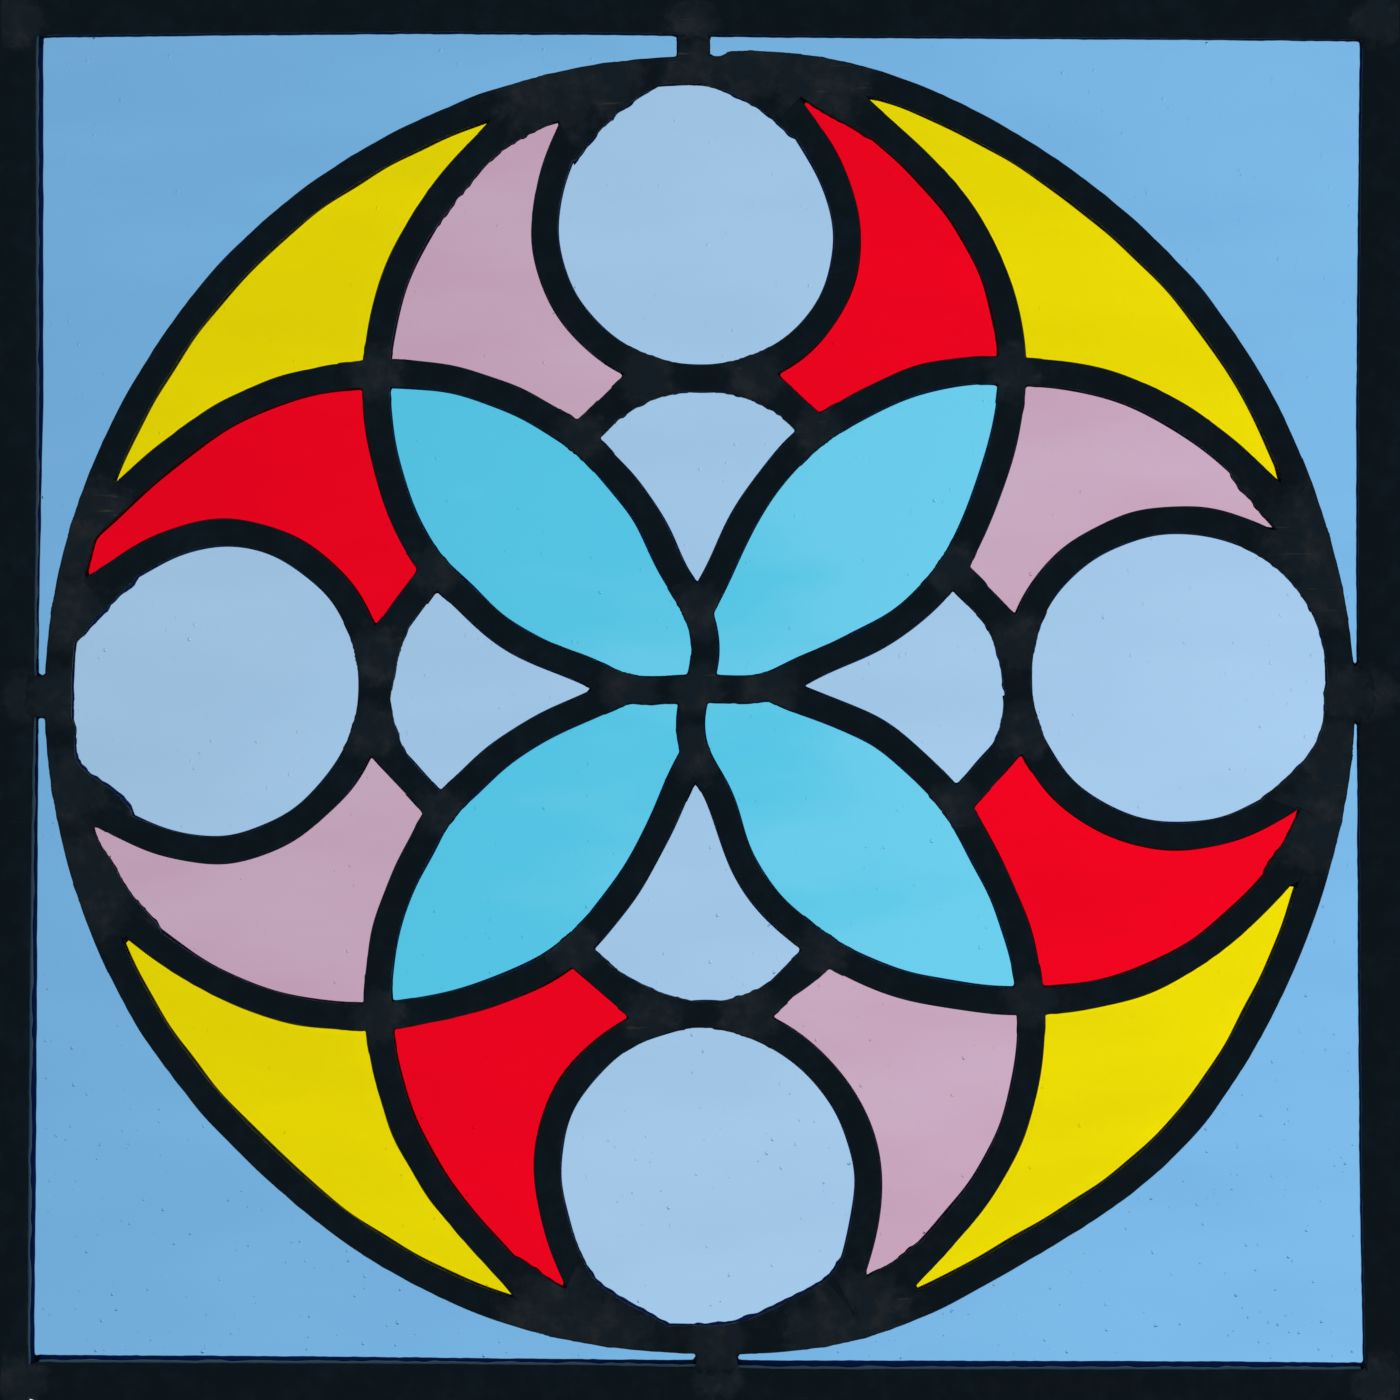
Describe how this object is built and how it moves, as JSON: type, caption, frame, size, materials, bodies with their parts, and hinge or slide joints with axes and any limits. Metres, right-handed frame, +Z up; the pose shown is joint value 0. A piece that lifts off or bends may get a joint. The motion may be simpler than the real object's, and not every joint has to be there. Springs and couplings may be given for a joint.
{
  "type": "stained glass panel",
  "caption": "Square leaded glass panel: a rosette of four crossing lobes, petals and roundels in a lead ring, in a lead border.",
  "frame": {"origin": "middle of the bottom edge's flat outer face", "axes": "+Z up, +X to the right seen from the front, the front faces -Y"},
  "size_m": [0.305, 0.0062, 0.305],
  "materials": {
    "lead": "dull near black lead came",
    "solder": "dull solder, a little paler than the lead",
    "putty": "dark glazing cement",
    "sky_blue_glass": "clear seedy hand made glass",
    "pale_blue_glass": "clear seedy hand made glass",
    "turquoise_glass": "clear streaky hand made glass",
    "yellow_glass": "clear seedy hand made glass",
    "pink_glass": "soft streaky hand made glass",
    "red_glass": "clear hand made glass"
  },
  "bodies": {
    "root": {"bell_glass_bottom": "pale_blue_glass", "bell_glass_left": "pale_blue_glass", "bell_glass_right": "pale_blue_glass", "bell_glass_top": "pale_blue_glass", "border_came_bottom": "lead", "border_came_left": "lead", "border_came_right": "lead", "border_came_top": "lead", "corner_glass_bottom_left": "sky_blue_glass", "corner_glass_bottom_right": "sky_blue_glass", "corner_glass_top_left": "sky_blue_glass", "corner_glass_top_right": "sky_blue_glass", "lobe_came_bottom_left": "lead", "lobe_came_bottom_right": "lead", "lobe_came_left_lower_inner": "lead", "lobe_came_left_lower_outer": "lead", "lobe_came_left_upper_inner": "lead", "lobe_came_left_upper_outer": "lead", "lobe_came_right_lower_inner": "lead", "lobe_came_right_lower_outer": "lead", "lobe_came_right_upper_inner": "lead", "lobe_came_right_upper_outer": "lead", "lobe_came_top": "lead", "petal_glass_bottom_left": "turquoise_glass", "petal_glass_bottom_right": "turquoise_glass", "petal_glass_top_left": "turquoise_glass", "petal_glass_top_right": "turquoise_glass", "pink_glass_bottom": "pink_glass", "pink_glass_left": "pink_glass", "pink_glass_right": "pink_glass", "pink_glass_top": "pink_glass", "red_glass_bottom": "red_glass", "red_glass_left": "red_glass", "red_glass_right": "red_glass", "red_glass_top": "red_glass", "ring_came": "lead", "roundel_came_bottom": "lead", "roundel_came_left": "lead", "roundel_came_right": "lead", "roundel_came_top": "lead", "roundel_glass_bottom": "pale_blue_glass", "roundel_glass_left": "pale_blue_glass", "roundel_glass_right": "pale_blue_glass", "roundel_glass_top": "pale_blue_glass", "shoulder_came_bottom_left": "lead", "shoulder_came_bottom_right": "lead", "shoulder_came_left_lower": "lead", "shoulder_came_left_upper": "lead", "shoulder_came_right_lower": "lead", "shoulder_came_right_upper": "lead", "shoulder_came_top_left": "lead", "shoulder_came_top_right": "lead", "tie_came_bottom": "lead", "tie_came_left": "lead", "tie_came_right": "lead", "tie_came_top": "lead", "yellow_glass_bottom_left": "yellow_glass", "yellow_glass_bottom_right": "yellow_glass", "yellow_glass_top_left": "yellow_glass", "yellow_glass_top_right": "yellow_glass"}
  },
  "joints": []
}
